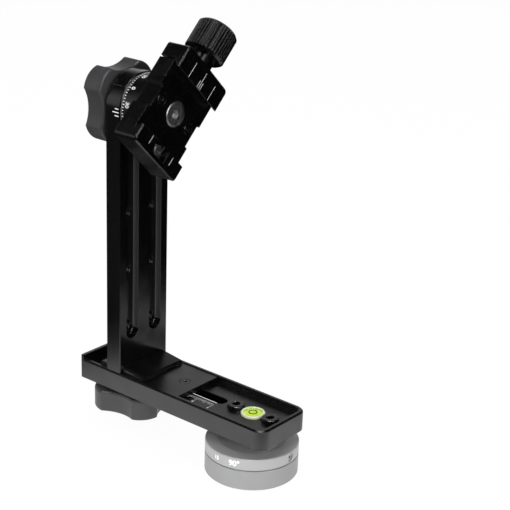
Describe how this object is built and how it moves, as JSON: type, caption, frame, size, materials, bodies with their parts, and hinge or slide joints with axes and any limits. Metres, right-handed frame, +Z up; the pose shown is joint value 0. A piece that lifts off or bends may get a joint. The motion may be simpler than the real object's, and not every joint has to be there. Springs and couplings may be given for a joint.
{
  "type": "panoramic camera slider head",
  "caption": "Panoramic head: an upright slides along a tray-like lower rail on a pan rotator and carries a tilting dovetail clamp.",
  "frame": {"origin": "centre of the rotator's underside, at the mouth of its tripod thread", "axes": "+X along the lower rail towards its short end, +Z up along the pan axis, +Y across the rail to the side that the clamp's knob leans to"},
  "size_m": [0.1244, 0.0728, 0.2106],
  "materials": {
    "black_anodised": "bead-blasted, black anodised",
    "dark_grey_anodised": "bead-blasted, dark grey anodised",
    "clear_anodised": "turned, clear anodised",
    "knob_plastic": "moulded glass-filled nylon",
    "brass": "turned",
    "black_steel": "black oxide",
    "bright_steel": "ground stainless steel",
    "friction_polymer": "filled acetal",
    "level_liquid": "tinted spirit with an air bubble",
    "clear_acrylic": "clear moulded acrylic",
    "level_green": "moulded"
  },
  "bodies": {
    "base": {"rotator_housing": "clear_anodised", "tripod_thread_insert": "bright_steel", "pan_thrust_washer": "friction_polymer", "pan_retaining_cap": "bright_steel", "pan_retaining_screw": "black_steel"},
    "detent_ring": {"detent_select_ring": "clear_anodised", "detent_plunger_body": "bright_steel", "detent_plunger_ball": "bright_steel", "detent_plunger_spring": "bright_steel"},
    "rotor": {"pan_rotor": "clear_anodised", "lower_rail": "dark_grey_anodised", "rail_screws": "black_steel", "level_cup": "level_green", "level_fluid": "level_liquid", "level_lens": "clear_acrylic"},
    "carriage": {"foot": "black_anodised", "guide_key": "brass", "guide_key_screw": "black_steel", "upright": "black_anodised", "upright_screws": "black_steel", "clamp_stud": "bright_steel"},
    "lower_washer": {"lower_knob_washer": "bright_steel"},
    "lower_knob": {"lower_knob": "knob_plastic", "lower_knob_insert": "brass"},
    "tilt_head": {"tilt_dial": "black_anodised", "tilt_friction_washer": "friction_polymer", "head_bolt": "bright_steel", "clamp_base": "black_anodised", "dial_screws": "black_steel", "plate_stop_screw": "black_steel"},
    "upper_washer": {"upper_knob_washer": "bright_steel"},
    "upper_knob": {"upper_knob": "knob_plastic", "upper_knob_insert": "brass"},
    "jaw": {"moving_jaw": "black_anodised", "guide_pins": "bright_steel", "retaining_clip": "black_steel"},
    "jaw_knob": {"jaw_knob": "black_anodised", "lead_screw": "bright_steel"}
  },
  "joints": [
    {"name": "pan", "type": "hinge", "parent": "base", "child": "rotor", "pos_m": [0, 0, 0], "axis": [0, 0, 1], "continuous": true},
    {"name": "detent_ring_turn", "type": "hinge", "parent": "base", "child": "detent_ring", "pos_m": [0, 0, 0], "axis": [0, 0, 1], "range_deg": [0, 180]},
    {"name": "rail_slide", "type": "slide", "parent": "rotor", "child": "carriage", "axis": [1, 0, 0], "range_m": [-0.0095, 0.0205]},
    {"name": "lower_knob_drop", "type": "slide", "parent": "carriage", "child": "lower_washer", "axis": [0, 0, -1], "range_m": [0, 0.0015]},
    {"name": "lower_knob_turn", "type": "hinge", "parent": "lower_washer", "child": "lower_knob", "pos_m": [-0.078, 0, 0], "axis": [0, 0, -1], "range_deg": [0, 540]},
    {"name": "tilt", "type": "hinge", "parent": "carriage", "child": "tilt_head", "pos_m": [0, 0, 0.169], "axis": [1, 0, 0], "continuous": true},
    {"name": "upper_knob_back", "type": "slide", "parent": "tilt_head", "child": "upper_washer", "axis": [-1, 0, 0], "range_m": [0, 0.0015]},
    {"name": "upper_knob_turn", "type": "hinge", "parent": "upper_washer", "child": "upper_knob", "pos_m": [0, 0, 0.169], "axis": [-1, 0, 0], "range_deg": [0, 540]},
    {"name": "jaw_slide", "type": "slide", "parent": "tilt_head", "child": "jaw", "axis": [0, 0.7071, 0.7071], "range_m": [-0.001, 0.007]},
    {"name": "jaw_knob_turn", "type": "hinge", "parent": "jaw", "child": "jaw_knob", "pos_m": [-0.0575, 0, 0.169], "axis": [0, 0.7071, 0.7071], "range_deg": [-360, 2520]}
  ],
  "couplings": [
    {"joint": "lower_knob_turn", "follows": "lower_knob_drop", "rad_per_m": 6283.2},
    {"joint": "upper_knob_turn", "follows": "upper_knob_back", "rad_per_m": 6283.2},
    {"joint": "jaw_knob_turn", "follows": "jaw_slide", "rad_per_m": 6283.2}
  ]
}
